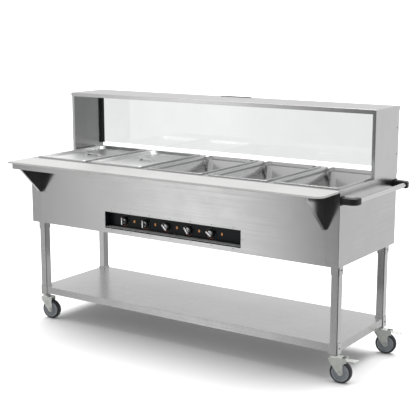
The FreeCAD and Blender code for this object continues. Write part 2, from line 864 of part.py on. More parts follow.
def makePedal():
    w = pedalHalf
    thick = 2.5
    z = pedalPivotZ
    barrel = rod(V(pedalPivotX, -w, z), V(0, 1, 0), 6, 2 * w)
    arm = box(pedalPivotX, pedalPivotX + 20, -w, w, z + 1, z + 1 + thick)
    tread = box(pedalPivotX + 12, pedalReach - 4, -w - 3, w + 3, z + 1, z + 1 + thick)
    ribs = []
    for k in range(5):
        x = pedalPivotX + 16 + 7 * k
        ribs.append(box(x, x + 2.4, -w - 2, w + 2, z, z + 5.4))
    tip = box(pedalReach - 6, pedalReach, -w, w, z + 1, z + 8)
    shell = fuseAll([barrel, arm, tread, tip] + ribs)
    return shell.cut(rod(V(pedalPivotX, -w - 1, z), V(0, 1, 0), pedalPin + 0.08, 2 * w + 2))


# The food pans and their lids.

panMid = panFront + panLength / 2
rimLow = tableTop + bodyGap
rimThick = 5.5
rimRound = 14.0
rimLip = 1.5
wallRound = 38.0
wallTopX = panWidth - 24.0
wallTopY = panLength - 26.0
wallLowX = wallTopX - 26.0
wallLowY = wallTopY - 26.0
lidLow = rimLow + rimThick + bodyGap


def rimBlock(cx, z0, z1, inset):
    halfX = panWidth / 2 - inset
    halfY = panLength / 2 - inset
    return roundedBlock(cx - halfX, cx + halfX, panMid - halfY, panMid + halfY, z0, z1, rimRound - inset)


def makePan(cx):
    # The rim is a flat flange with its outer edge turned down onto the table top.
    rimTop = rimLow + rimThick
    under = rimTop - panSheet
    rim = rimBlock(cx, rimLow, rimTop, 0).cut(rimBlock(cx, rimLow - 1, under, rimLip))
    floor = rimLow - panDeep
    outer = taperedBlock(cx, panMid, floor, under, (wallLowX, wallLowY), (wallTopX, wallTopY), wallRound)
    t = 2 * panSheet
    low = (wallLowX - t, wallLowY - t)
    high = (wallTopX - t, wallTopY - t)
    inner = taperedBlock(cx, panMid, floor + panSheet, rimTop + 0.01, low, high, wallRound - panSheet)
    return rim.fuse(outer).cut(inner).removeSplitter()


lidFlange = 1.6
lidSheet = 1.2
lidHalfX = 160.0
lidHalfY = 262.5
dishDeep = 16.0
dishTop = (290.0, 494.0)
dishFloor = (262.0, 467.0)
dishRound = 33.0
strapHalf = 10.0
strapThick = 2.0
strapRise = 10.0
strapEnd = 53.0
strapBend = 38.0
strapKnee = 30.0
strapSide = 3.0


def makeLid(cx):
    # A flat flange round a shallow dish that hangs down into the pan.
    flangeTop = lidLow + lidFlange
    floorTop = flangeTop - dishDeep
    flange = roundedBlock(
        cx - lidHalfX, cx + lidHalfX, panMid - lidHalfY, panMid + lidHalfY, lidLow, flangeTop, rimRound
    )
    t = 2 * lidSheet
    low = (dishFloor[0] + t, dishFloor[1] + t)
    high = (dishTop[0] + t, dishTop[1] + t)
    outer = taperedBlock(cx, panMid, floorTop - lidSheet, flangeTop, low, high, dishRound + lidSheet)
    inner = taperedBlock(cx, panMid, floorTop, flangeTop + 0.01, dishFloor, dishTop, dishRound)
    shell = flange.fuse(outer).cut(inner)
    y0 = panMid - strapHalf
    y1 = panMid + strapHalf
    strapTop = floorTop + strapRise
    lean = strapBend + strapThick
    parts = [shell, box(cx - strapKnee - 0.5, cx + strapKnee + 0.5, y0, y1, strapTop - strapThick, strapTop)]
    for s in (-1, 1):
        a = cx + s * strapEnd
        b = cx + s * strapBend
        parts.append(box(min(a, b), max(a, b), y0, y1, floorTop, floorTop + strapThick))
        parts.append(prism([
            V(cx + s * (lean + strapSide / 2), y0, floorTop),
            V(cx + s * strapKnee, y0, strapTop),
            V(cx + s * (strapKnee - strapSide), y0, strapTop),
            V(cx + s * (lean - strapSide / 2), y0, floorTop),
        ], V(0, 2 * strapHalf, 0)))
    return fuseAll(parts)


# Write every node.

knobTurns = (0.0, 0.0, -50.0, -40.0, -60.0)
endPanel = makeEndPanel()
guardEnd = makeGuardEnd()
bracket = makeBracket()
channel = makeChannel()
handleBracket = makeHandleBracket()

saveNode("top_sheet", makeTopSheet())
saveNode("divider_bars", makeDividers())
saveNode("front_panel", [makeFrontPanel()])
saveNode("end_panels", [endPanel, mirrorX(endPanel)])
saveNode("rear_panel", [makeRearPanel()])
saveNode("bottom_pan", [makeBottomPan()])
saveNode("well_tanks", [makeTank(cx) for cx in panCentres])
saveNode("heating_elements", [makeElement(cx) for cx in panCentres])
saveNode("drain_pipes", [makeDrainPipes()])
saveNode("drain_valve", [makeValve()])
saveNode("drain_lever", [makeLever()])
saveNode("cord_gland", [makeGland()])
saveNode("control_box", [makeControlBox()])
saveNode("dial_plates", makeDialPlates())
saveNode("thermostats", makeThermostats())
saveNode("indicator_lamps", makeLamps())
for index, x in enumerate(knobCentres):
    saveNode("knob_" + str(index + 1), [makeKnob(x, knobTurns[index])])
saveNode("tray_shelf", [makeTray()])
saveNode("cutting_board", [makeBoard()])
saveNode("tray_brackets", [bracket, mirrorX(bracket)])
saveNode("legs", fourCorners(makeLeg()))
upperSocket = socketTube(bodyBottom - socketDrop, bodyBottom)
saveNode("leg_sockets", fourCorners(upperSocket) + fourCorners(makeLowSocket()))
saveNode("frame_bolts", makeSocketBolts() + makeBracketBolts())
saveNode("undershelf", [makeUndershelf()])
saveNode("guard_ends", [guardEnd, mirrorX(guardEnd)])
saveNode("guard_shelf", [makeGuardShelf()])
saveNode("guard_glass", [makeGlass()])
saveNode("glass_channels", [channel, mirrorX(channel)])
saveNode("glass_clip", [makeGlassClip()])
saveNode("sheet_screws", makePanelScrews() + makeGuardScrews())
saveNode("handle_brackets", [handleBracket, mirrorY(handleBracket)])
saveNode("handle_tube", [makeHandleTube()])

corners = [
    ("front_right", legCentre, legRowFront, True),
    ("rear_right", legCentre, legRowBack, True),
    ("front_left", -legCentre, legRowFront, False),
    ("rear_left", -legCentre, legRowBack, False),
]
saveNode("caster_stems", [placeCaster(makeStem(), cx, cy) for tag, cx, cy, braked in corners])
for tag, cx, cy, braked in corners:
    saveNode("fork_" + tag, [placeCaster(makeFork(braked), cx, cy)])
    saveNode("wheel_hub_" + tag, [placeCaster(makeHub(), cx, cy)])
    saveNode("tyre_" + tag, [placeCaster(makeTyre(), cx, cy)])
    if braked:
        saveNode("pedal_" + tag, [placeCaster(makePedal(), cx, cy)])
for index, cx in enumerate(panCentres):
    saveNode("pan_" + str(index + 1), [makePan(cx)])
for index in (0, 1):
    saveNode("lid_" + str(index + 1), [makeLid(panCentres[index])])
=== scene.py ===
import bpy
import bmesh
import json
import math
from mathutils import Matrix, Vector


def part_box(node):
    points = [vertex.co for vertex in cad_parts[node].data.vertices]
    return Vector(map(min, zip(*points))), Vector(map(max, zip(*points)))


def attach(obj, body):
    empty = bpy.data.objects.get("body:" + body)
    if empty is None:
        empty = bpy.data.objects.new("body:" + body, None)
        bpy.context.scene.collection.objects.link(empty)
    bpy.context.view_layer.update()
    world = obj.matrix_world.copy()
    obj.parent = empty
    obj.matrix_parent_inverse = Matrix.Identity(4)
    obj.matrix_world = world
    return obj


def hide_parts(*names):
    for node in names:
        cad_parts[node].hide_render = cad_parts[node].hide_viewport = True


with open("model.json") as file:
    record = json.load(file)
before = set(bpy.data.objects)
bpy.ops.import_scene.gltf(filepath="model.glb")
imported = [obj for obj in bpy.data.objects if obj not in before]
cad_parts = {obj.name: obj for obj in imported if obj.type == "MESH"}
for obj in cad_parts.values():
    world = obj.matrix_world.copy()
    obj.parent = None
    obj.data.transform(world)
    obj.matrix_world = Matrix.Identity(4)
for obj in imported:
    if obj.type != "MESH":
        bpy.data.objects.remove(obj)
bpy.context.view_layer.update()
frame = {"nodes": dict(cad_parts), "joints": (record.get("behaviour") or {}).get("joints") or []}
nodes = frame["nodes"]
print("frame loaded:", len(nodes), "nodes")

mm = 0.001
scene = bpy.context.scene
corners = ("front_right", "rear_right", "front_left", "rear_left")
brakedCorners = ("front_right", "rear_right")
panNumbers = (1, 2, 3, 4, 5)
lidNumbers = (1, 2)
casterTurn = Matrix.Rotation(math.radians(10), 4, "Z")


# Every finish is built from nodes on Object coordinates.

def newFinish(name):
    finish = bpy.data.materials.new(name)
    finish.use_nodes = True
    tree = finish.node_tree
    return finish, tree, tree.nodes["Principled BSDF"]


def placeTexture(tree, scale=(1, 1, 1), turn=(0, 0, 0)):
    coord = tree.nodes.new("ShaderNodeTexCoord")
    mapping = tree.nodes.new("ShaderNodeMapping")
    mapping.inputs["Scale"].default_value = scale
    mapping.inputs["Rotation"].default_value = turn
    tree.links.new(coord.outputs["Object"], mapping.inputs["Vector"])
    return mapping.outputs["Vector"]


def noise(tree, vector, scale, detail, rough):
    node = tree.nodes.new("ShaderNodeTexNoise")
    node.inputs["Scale"].default_value = scale
    node.inputs["Detail"].default_value = detail
    node.inputs["Roughness"].default_value = rough
    tree.links.new(vector, node.inputs["Vector"])
    return node.outputs["Fac"]


def spread(tree, value, low=0, high=1, fromLow=0.3, fromHigh=0.7):
    node = tree.nodes.new("ShaderNodeMapRange")
    node.inputs["From Min"].default_value = fromLow
    node.inputs["From Max"].default_value = fromHigh
    node.inputs["To Min"].default_value = low
    node.inputs["To Max"].default_value = high
    tree.links.new(value, node.inputs["Value"])
    return node.outputs["Result"]


def combine(tree, first, second, how="ADD"):
    node = tree.nodes.new("ShaderNodeMath")
    node.operation = how
    tree.links.new(first, node.inputs[0])
    if isinstance(second, (int, float)):
        node.inputs[1].default_value = second
    else:
        tree.links.new(second, node.inputs[1])
    return node.outputs[0]


def weigh(tree, first, share, second):
    # the given share of the first value and the rest of the second
    left = combine(tree, first, share, "MULTIPLY")
    right = combine(tree, second, 1 - share, "MULTIPLY")
    return combine(tree, left, right)


def tint(tree, shader, value, dark, light):
    node = tree.nodes.new("ShaderNodeMix")
    node.data_type = "RGBA"
    node.inputs["A"].default_value = (*dark, 1)
    node.inputs["B"].default_value = (*light, 1)
    tree.links.new(value, node.inputs["Factor"])
    tree.links.new(node.outputs["Result"], shader.inputs["Base Color"])
    return node.outputs["Result"]


def gloss(tree, shader, value, rough):
    tree.links.new(spread(tree, value, *rough), shader.inputs["Roughness"])


def roughen(tree, shader, height, strength, depth):
    node = tree.nodes.new("ShaderNodeBump")
    node.inputs["Strength"].default_value = strength
    node.inputs["Distance"].default_value = depth
    tree.links.new(height, node.inputs["Height"])
    tree.links.new(node.outputs["Normal"], shader.inputs["Normal"])


steelBase = dict(fine=1.0, streak=0.22, cloud=3.0, smear=11.0, fineShare=0.5, streakShare=0.6,
                 bump=0.12, depth=0.0004)


def brushedSteel(name, light, dark, grain, rough, **own):
    # grain runs along the axis with the small number
    settings = {**steelBase, **own}
    finish, tree, shader = newFinish(name)
    along = placeTexture(tree, grain)
    plain = placeTexture(tree)
    fine = noise(tree, along, settings["fine"], detail=5, rough=0.65)
    streak = noise(tree, along, settings["streak"], detail=3, rough=0.5)
    cloud = noise(tree, plain, settings["cloud"], detail=4, rough=0.5)
    smear = noise(tree, plain, settings["smear"], detail=6, rough=0.6)
    tone = weigh(tree, fine, settings["fineShare"], cloud)
    tint(tree, shader, spread(tree, tone), (dark,) * 3, (light,) * 3)
    shader.inputs["Metallic"].default_value = 1.0
    gloss(tree, shader, weigh(tree, streak, settings["streakShare"], smear), rough)
    roughen(tree, shader, fine, settings["bump"], settings["depth"])
    return finish


mouldBase = dict(pebble=900.0, slow=14.0, metal=0.0, coat=0.0, shine=0.5, bump=0.15, depth=0.0003)


def moulded(name, light, dark, rough, **own):
    # plastic, paint or plating: a fine pebble and a slow change of colour and gloss
    settings = {**mouldBase, **own}
    finish, tree, shader = newFinish(name)
    plain = placeTexture(tree)
    pebble = noise(tree, plain, settings["pebble"], detail=3, rough=0.5)
    slow = noise(tree, plain, settings["slow"], detail=5, rough=0.55)
    tint(tree, shader, spread(tree, slow), dark, light)
    gloss(tree, shader, slow, rough)
    shader.inputs["Metallic"].default_value = settings["metal"]
    shader.inputs["Coat Weight"].default_value = settings["coat"]
    shader.inputs["Specular IOR Level"].default_value = settings["shine"]
    roughen(tree, shader, pebble, settings["bump"], settings["depth"])
    return finish


boardLook = dict(
    dark=(0.335, 0.335, 0.331), light=(0.38, 0.38, 0.376), rough=(0.38, 0.55), marks=(4, 260, 4),
    turns=(0.35, -0.8, 1.3), cutFrom=0.22, cutTo=0.34, slow=5.0, cutShare=0.35,
    toneTo=0.75, bump=0.25, depth=0.0003,
)


def boardPlastic(name):
    # white plastic with a felt of fine knife marks in three directions
    settings = boardLook
    finish, tree, shader = newFinish(name)
    turned = [placeTexture(tree, settings["marks"], (0, 0, turn)) for turn in settings["turns"]]
    marks = [noise(tree, vector, 1.0, detail=2, rough=0.5) for vector in turned]
    cut = combine(tree, combine(tree, marks[0], marks[1], "MINIMUM"), marks[2], "MINIMUM")
    cut = spread(tree, cut, fromLow=settings["cutFrom"], fromHigh=settings["cutTo"])
    slow = noise(tree, placeTexture(tree), settings["slow"], detail=5, rough=0.6)
    tone = spread(tree, weigh(tree, cut, settings["cutShare"], slow), fromHigh=settings["toneTo"])
    tint(tree, shader, tone, settings["dark"], settings["light"])
    gloss(tree, shader, slow, settings["rough"])
    roughen(tree, shader, cut, settings["bump"], settings["depth"])
    return finish


paneLook = dict(dark=(0.755, 0.77, 0.765), light=(0.785, 0.797, 0.793), rough=(0.0, 0.02),
                smear=6.0, bend=1.45)


def clearPane(name):
    settings = paneLook
    finish, tree, shader = newFinish(name)
    smear = noise(tree, placeTexture(tree), settings["smear"], detail=5, rough=0.6)
    tint(tree, shader, spread(tree, smear), settings["dark"], settings["light"])
    gloss(tree, shader, smear, settings["rough"])
    shader.inputs["Transmission Weight"].default_value = 1.0
    shader.inputs["IOR"].default_value = settings["bend"]
    return finish


lensLook = dict(dark=(0.36, 0.13, 0.03), light=(0.52, 0.23, 0.07), rough=(0.15, 0.3),
                facets=260.0, glow=0.12)


def lampLens(name):
    settings = lensLook
    finish, tree, shader = newFinish(name)
    facets = noise(tree, placeTexture(tree), settings["facets"], detail=2, rough=0.5)
    colour = tint(tree, shader, spread(tree, facets), settings["dark"], settings["light"])
    gloss(tree, shader, facets, settings["rough"])
    tree.links.new(colour, shader.inputs["Emission Color"])
    shader.inputs["Emission Strength"].default_value = settings["glow"]
    return finish


tyreLook = dict(dark=(0.018, 0.020, 0.024), light=(0.045, 0.048, 0.053), rough=(0.5, 0.75),
                grit=420.0, dust=40.0, bump=0.3, depth=0.0004)


def tyreRubber(name):
    settings = tyreLook
    finish, tree, shader = newFinish(name)
    plain = placeTexture(tree)
    grit = noise(tree, plain, settings["grit"], detail=4, rough=0.6)
    dust = noise(tree, plain, settings["dust"], detail=6, rough=0.65)
    tint(tree, shader, spread(tree, dust), settings["dark"], settings["light"])
    gloss(tree, shader, dust, settings["rough"])
    roughen(tree, shader, grit, settings["bump"], settings["depth"])
    return finish


finishes = {
    "alongX": brushedSteel("steelAlongX", 0.66, 0.58, (6, 900, 900), (0.15, 0.24)),
    "alongY": brushedSteel("steelAlongY", 0.64, 0.56, (900, 6, 900), (0.17, 0.27)),
    "alongZ": brushedSteel("steelAlongZ", 0.66, 0.58, (900, 900, 6), (0.16, 0.25)),
    "shelfTop": brushedSteel("steelShelf", 0.62, 0.54, (6, 800, 800), (0.20, 0.30)),
    "pan": brushedSteel("steelPan", 0.68, 0.60, (260, 260, 260), (0.16, 0.26), bump=0.05),
    # the lid steel is a lighter copy of the pan steel: painted light for the brightly lit tops of lids and
    # straps
    "lid": brushedSteel("litLidSteel", 0.80, 0.72, (900, 8, 900), (0.34, 0.44), bump=0.08),
    "tube": brushedSteel("steelTube", 0.72, 0.66, (500, 10, 500), (0.10, 0.20), bump=0.05),
    "tank": brushedSteel("steelTank", 0.5, 0.38, (200, 200, 200), (0.35, 0.5), bump=0.2),
    "sheath": brushedSteel("heaterSheath", 0.28, 0.16, (300, 300, 300), (0.4, 0.6), bump=0.3),
    "screw": brushedSteel("screwSteel", 0.30, 0.20, (400, 400, 400), (0.3, 0.45), bump=0.2),
    "zinc": moulded("zincPlate", (0.78, 0.80, 0.76), (0.66, 0.68, 0.64), (0.28, 0.42), metal=0.55,
                     slow=60.0, bump=0.1),
    "chrome": moulded("knobChrome", (0.86, 0.86, 0.87), (0.76, 0.76, 0.78), (0.06, 0.14), metal=1.0,
                       slow=120.0, bump=0.02),
    "blackPlastic": moulded("blackPlastic", (0.014, 0.014, 0.015), (0.007, 0.007, 0.008), (0.32, 0.48)),
    "panelBlack": moulded("panelBlack", (0.008, 0.010, 0.012), (0.004, 0.005, 0.006), (0.3, 0.42),
                           pebble=500.0, bump=0.05, shine=0.25),
    "darkSteel": moulded("darkSteel", (0.06, 0.062, 0.065), (0.03, 0.031, 0.033), (0.35, 0.5), metal=0.6),
    "hub": moulded("hubPlastic", (0.23, 0.25, 0.27), (0.17, 0.185, 0.20), (0.35, 0.5), slow=50.0),
    "brass": moulded("valveBrass", (0.62, 0.44, 0.18), (0.46, 0.31, 0.12), (0.25, 0.4), metal=1.0),
    "leverRed": moulded("leverRed", (0.50, 0.03, 0.02), (0.34, 0.02, 0.015), (0.3, 0.45), coat=0.2),
    # the rim rings are the hub plastic made lighter: a painted highlight where the rims catch the light
    "hubRimHighlight": moulded("hubRimHighlight", (0.50, 0.52, 0.54), (0.40, 0.42, 0.44), (0.3, 0.45), slow=60.0),
    "dialOrange": moulded("dialOrange", (0.36, 0.085, 0.03), (0.27, 0.06, 0.02), (0.4, 0.55)),
    # near-white strip on the recess floor: a painted highlight for the ledge that catches the light
    "paintedHighlightStrip": moulded("paintedHighlightStrip", (0.92, 0.92, 0.92), (0.82, 0.82, 0.82), (0.45, 0.6),
                           slow=30.0, metal=0.15),
    "dialWhite": moulded("dialWhite", (0.75, 0.75, 0.74), (0.6, 0.6, 0.6), (0.4, 0.55)),
    "board": boardPlastic("boardPlastic"),
    "pane": clearPane("clearPane"),
    "lamp": lampLens("lampLens"),
    "rubber": tyreRubber("tyreRubber"),
}

nodeFinish = {
    "top_sheet": "alongX", "divider_bars": "alongY", "front_panel": "alongX", "end_panels": "alongY",
    "rear_panel": "alongX", "bottom_pan": "alongX", "well_tanks": "tank", "heating_elements": "sheath",
    "drain_pipes": "tank", "drain_valve": "brass", "drain_lever": "leverRed", "cord_gland": "blackPlastic",
    "control_box": "panelBlack", "dial_plates": "panelBlack", "thermostats": "blackPlastic",
    "indicator_lamps": "lamp", "sheet_screws": "screw", "tray_shelf": "alongX", "cutting_board": "board",
    "tray_brackets": "alongZ", "legs": "alongZ", "leg_sockets": "alongZ", "frame_bolts": "screw",
    "undershelf": "shelfTop", "guard_ends": "alongZ", "guard_shelf": "alongX", "guard_glass": "pane",
    "glass_channels": "blackPlastic", "glass_clip": "darkSteel", "handle_brackets": "blackPlastic",
    "handle_tube": "tube", "caster_stems": "zinc",
}
for number in panNumbers:
    nodeFinish["pan_" + str(number)] = "pan"
    nodeFinish["knob_" + str(number)] = "chrome"
for number in lidNumbers:
    nodeFinish["lid_" + str(number)] = "lid"
for corner in corners:
    nodeFinish["fork_" + corner] = "zinc"
    nodeFinish["wheel_hub_" + corner] = "hub"
    nodeFinish["tyre_" + corner] = "rubber"
for corner in brakedCorners:
    nodeFinish["pedal_" + corner] = "zinc"


def dress(piece, finish):
    piece.data.materials.clear()
    piece.data.materials.append(finishes[finish])


for name, node in nodes.items():
    dress(node, nodeFinish[name])
print("finishes laid on", len(nodes), "nodes")


# Mesh helpers that every piece uses.

def finishMesh(shape, name, finish, body, replaced=(), sharp=32):
    bmesh.ops.remove_doubles(shape, verts=shape.verts, dist=0.000002)
    bmesh.ops.recalc_face_normals(shape, faces=shape.faces)
    mesh = bpy.data.meshes.new(name)
    shape.to_mesh(mesh)
    shape.free()
    for face in mesh.polygons:
        face.use_smooth = True
    mesh.set_sharp_from_angle(angle=math.radians(sharp))
    piece = bpy.data.objects.new(name, mesh)
    scene.collection.objects.link(piece)
    dress(piece, finish)
    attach(piece, body)
    if replaced:
        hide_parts(*replaced)
    return piece


def roundedLoop(shape, centre, width, length, radius, z, segments=8):
    # edges of a rectangle with round corners, lying flat at height z
    made = bmesh.ops.create_grid(shape, x_segments=1, y_segments=1, size=0.5)["verts"]
    bmesh.ops.scale(shape, vec=(width, length, 1), verts=made)
    bmesh.ops.translate(shape, vec=(centre[0], centre[1], z), verts=made)
    known = set(shape.edges) - set(made[0].link_faces[0].edges)
    bmesh.ops.bevel(shape, geom=made, offset=radius, offset_type="OFFSET", affect="VERTICES",
                    segments=segments, profile=0.5, material=-1)
    edges = [edge for edge in shape.edges if edge not in known]
    bmesh.ops.delete(shape, geom=list(edges[0].link_faces), context="FACES_ONLY")
    return edges


def stackLoops(shape, centre, outline, profile, top):
    # one loop for each profile row, which is (inset, height over the top, corner radius) in mm
    width, length = outline
    return [roundedLoop(shape, centre, width - 2 * inset * mm, length - 2 * inset * mm, radius * mm,
                        top + height * mm) for inset, height, radius in profile]


def bridgeAll(shape, loops):
    for first, second in zip(loops, loops[1:]):
        bmesh.ops.bridge_loops(shape, edges=first + second)


def softBlock(shape, size, centre, radius, segments=3, matrix=None):
    made = bmesh.ops.create_cube(shape, size=1.0)["verts"]
    bmesh.ops.scale(shape, vec=size, verts=made)
    edges = {edge for vert in made for edge in vert.link_edges}
    if radius > 0:
        result = bmesh.ops.bevel(shape, geom=list(edges), offset=radius, offset_type="OFFSET",
                                 affect="EDGES", segments=segments, profile=0.5, material=-1,
                                 clamp_overlap=True)
        made = list({vert for face in result["faces"] for vert in face.verts})
    bmesh.ops.translate(shape, vec=centre, verts=made)
    if matrix:
        bmesh.ops.transform(shape, matrix=matrix, verts=made)
    return made


def spun(shape, profile, centre, steps, matrix=None):
    # profile rows are (radius, place along Y) in mm, turned about the Y axis through centre
    known = set(shape.verts)
    verts = [shape.verts.new((radius * mm, along * mm, 0)) for radius, along in profile]
    edges = [shape.edges.new(pair) for pair in zip(verts, verts[1:])]
    bmesh.ops.spin(shape, geom=verts + edges, cent=(0, 0, 0), axis=(0, 1, 0), angle=2 * math.pi,
                   steps=steps, use_merge=True, use_duplicate=False)
    made = [vert for vert in shape.verts if vert not in known]
    if matrix:
        bmesh.ops.transform(shape, matrix=matrix, verts=made)
    bmesh.ops.translate(shape, vec=centre, verts=made)


def middle(node):
    low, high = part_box(node)
    return [(a + b) / 2 for a, b in zip(low, high)]


def pressSheet(node, settings):
    # a sheet with an upper and a lower skin, joined at the rim and closed in the middle
    low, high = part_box(node)
    outline = (high[0] - low[0], high[1] - low[1])
    shape = bmesh.new()
    upper, lower = [stackLoops(shape, middle(node), outline, settings[side], high[2])
                    for side in ("upper", "lower")]
    bridgeAll(shape, upper)
    bridgeAll(shape, lower)
    bridgeAll(shape, [lower[-1], upper[0]])
    for last in (upper[-1], lower[0]):
        bmesh.ops.contextual_create(shape, geom=last)
    return shape


# Food pans: upper rows run from the rim to the floor, lower rows from the floor back to the rim.

panShape = dict(
    upper=((0.7, -5.45, 13.4), (0.05, -2.4, 14), (0.5, -0.8, 13.6), (1.9, -0.05, 12.6), (9.4, -0.12, 22),
           (11.4, -0.6, 35), (12.5, -2.6, 38), (13.2, -20, 38), (15.4, -23, 37), (24.8, -88, 35),
           (27.6, -97, 33), (32, -102, 31), (40, -104.3, 27)),
    lower=((40, -105.4, 27), (31.2, -103, 31.5), (26.6, -97.6, 34), (23.6, -88, 36), (14.4, -23.4, 38),
           (12.1, -20.4, 38), (11.5, -2.9, 38), (9.8, -1.3, 30), (2.7, -1.2, 12), (1.4, -2.6, 12.6),
           (1.7, -5.45, 12.4)),
)


def makePan(number):
    node = "pan_" + str(number)
    finishMesh(pressSheet(node, panShape), "foodPan_" + str(number), "pan", node, [node])


# Lids: a flat border, a dish sunk into the pan, and a bent strap handle on two rivets.

lidShape = dict(
    upper=((0.5, -1.55, 13.6), (0.05, -0.8, 14), (0.7, -0.05, 13.5), (11.8, -0.12, 29), (13.8, -0.45, 31),
           (15.4, -1.4, 32.4), (16.8, -2.6, 33), (27.0, -13.9, 33), (28.6, -15.2, 32.6), (31, -15.85, 32),
           (34, -16, 31)),
    lower=((34, -17.15, 31), (29.6, -17.0, 32.4), (27.4, -16.2, 33.4), (25.6, -14.4, 34), (14.9, -2.9, 34),
           (13.6, -1.9, 33), (12, -1.5, 31), (1.3, -1.35, 12.8), (1.2, -1.58, 12.8)),
    strap=((-52.4, 0.9), (-42.6, 0.9), (-40.8, 1.3), (-39.2, 2.3), (-31.6, 7.6), (-30, 8.6), (-28, 8.95),
           (28, 8.95), (30, 8.6), (31.6, 7.6), (39.2, 2.3), (40.8, 1.3), (42.6, 0.9), (52.4, 0.9)),
    strapWidth=20, strapThick=1.8, strapGap=0.1, rivetX=47.5, rivetRadius=3.2, rivetSquash=0.45,
    dishDeep=16.0,
)


def makeLid(number):
    node = "lid_" + str(number)
    settings = lidShape
    finishMesh(pressSheet(node, settings), "panLid_" + str(number), "lid", node, [node])

    strap = bmesh.new()
    centre = middle(node)
    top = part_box(node)[1][2] - settings["dishDeep"] * mm
    half = settings["strapWidth"] / 2 * mm
    thick = settings["strapThick"] * mm
    x, z = settings["strap"][0]
    ends = [strap.verts.new((centre[0] + x * mm, centre[1] + side * half, top + z * mm)) for side in (-1, 1)]
    edge = strap.edges.new(ends)
    for nextX, nextZ in settings["strap"][1:]:
        grown = bmesh.ops.extrude_edge_only(strap, edges=[edge])["geom"]
        verts = [item for item in grown if isinstance(item, bmesh.types.BMVert)]
        edge = next(item for item in grown if isinstance(item, bmesh.types.BMEdge)
                    and all(vert in verts for vert in item.verts))
        bmesh.ops.translate(strap, vec=((nextX - x) * mm, 0, (nextZ - z) * mm), verts=verts)
        x, z = nextX, nextZ
    bmesh.ops.recalc_face_normals(strap, faces=strap.faces)
    if strap.faces[0].normal.z < 0:
        bmesh.ops.reverse_faces(strap, faces=strap.faces)
    bmesh.ops.solidify(strap, geom=strap.faces[:], thickness=thick)
    lowest = min(vert.co.z for vert in strap.verts)
    bmesh.ops.translate(strap, vec=(0, 0, top + settings["strapGap"] * mm - lowest), verts=strap.verts)
    for side in (-1, 1):
        rivet = bmesh.ops.create_uvsphere(strap, u_segments=16, v_segments=8,
                                          radius=settings["rivetRadius"] * mm)["verts"]
        bmesh.ops.scale(strap, vec=(1, 1, settings["rivetSquash"]), verts=rivet)
        place = (centre[0] + side * settings["rivetX"] * mm, centre[1], top + thick)
        bmesh.ops.translate(strap, vec=place, verts=rivet)
    finishMesh(strap, "lidStrap_" + str(number), "lid", node)


for number in panNumbers:
    makePan(number)
for number in lidNumbers:
    makeLid(number)
print("pans and lids pressed")


# Control knobs: a black turned skirt, a bright cap and grip bar, and a dark pointer at its own angle.

knobShape = dict(
    turns=(0, 0, -50, -40, -60),
    skirt=((0, 14.6), (15.4, 14.6), (16.2, 15), (18.2, 15.3), (19.2, 16), (19.8, 17.4), (19.9, 19.2),
           (19.5, 19.9), (3.2, 19.9), (2.9, 21), (2.9, 32.6), (0, 32.8)),
    cap=((0, 9.2), (9, 9.4), (12.8, 10.0), (14.4, 11.2), (15.2, 13), (15.5, 14.7), (0, 14.9)),
    barWidth=11, barDepth=14, barLength=37.6, barRound=2.8, steps=64, weld=0.01,
    pointerWidth=1.5, pointerLength=11, pointerDepth=0.6, pointerSink=0.1, pointerPlace=10.5,
    pointerRound=0.2,
)


def makeKnob(number):
    node = "knob_" + str(number)
    settings = knobShape
    centre = middle(node)
    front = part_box(node)[0][1]
    axle = (centre[0], front, centre[2])
    turn = Matrix.Rotation(math.radians(settings["turns"][number - 1]), 4, "Y")
    swing = Matrix.Translation(axle) @ turn @ Matrix.Translation([-v for v in axle])
    skirt = bmesh.new()
    spun(skirt, settings["skirt"], axle, settings["steps"])
    bmesh.ops.remove_doubles(skirt, verts=skirt.verts, dist=settings["weld"] * mm)
    finishMesh(skirt, "knobSkirt_" + str(number), "blackPlastic", node, [node])
    shape = bmesh.new()
    spun(shape, settings["cap"], axle, settings["steps"])
    bmesh.ops.remove_doubles(shape, verts=shape.verts, dist=settings["weld"] * mm)
    depth = settings["barDepth"] * mm
    place = (axle[0], front + depth / 2, axle[2])
    softBlock(shape, (settings["barWidth"] * mm, depth, settings["barLength"] * mm), place,
              settings["barRound"] * mm, 5, swing)
    finishMesh(shape, "controlKnob_" + str(number), "chrome", node)
    mark = bmesh.new()
    size = [settings[side] * mm for side in ("pointerWidth", "pointerDepth", "pointerLength")]
    place = (axle[0], front + settings["pointerSink"] * mm, axle[2] + settings["pointerPlace"] * mm)
    softBlock(mark, size, place, settings["pointerRound"] * mm, 2, swing)
    finishMesh(mark, "knobPointer_" + str(number), "blackPlastic", node)


# Dials: fine ticks round each knob and a warm arc from the lower right, under the knob, to the upper left.

dialShape = dict(ticks=11, sweep=(-135, 135), tickInner=22.6, tickOuter=24.8, tickWidth=0.7, tickRound=0.06,
                 lift=0.25, arcFrom=60, arcTo=215, arcInner=26.4, arcOuter=28.2, arcGap=0.02, arcSteps=40)


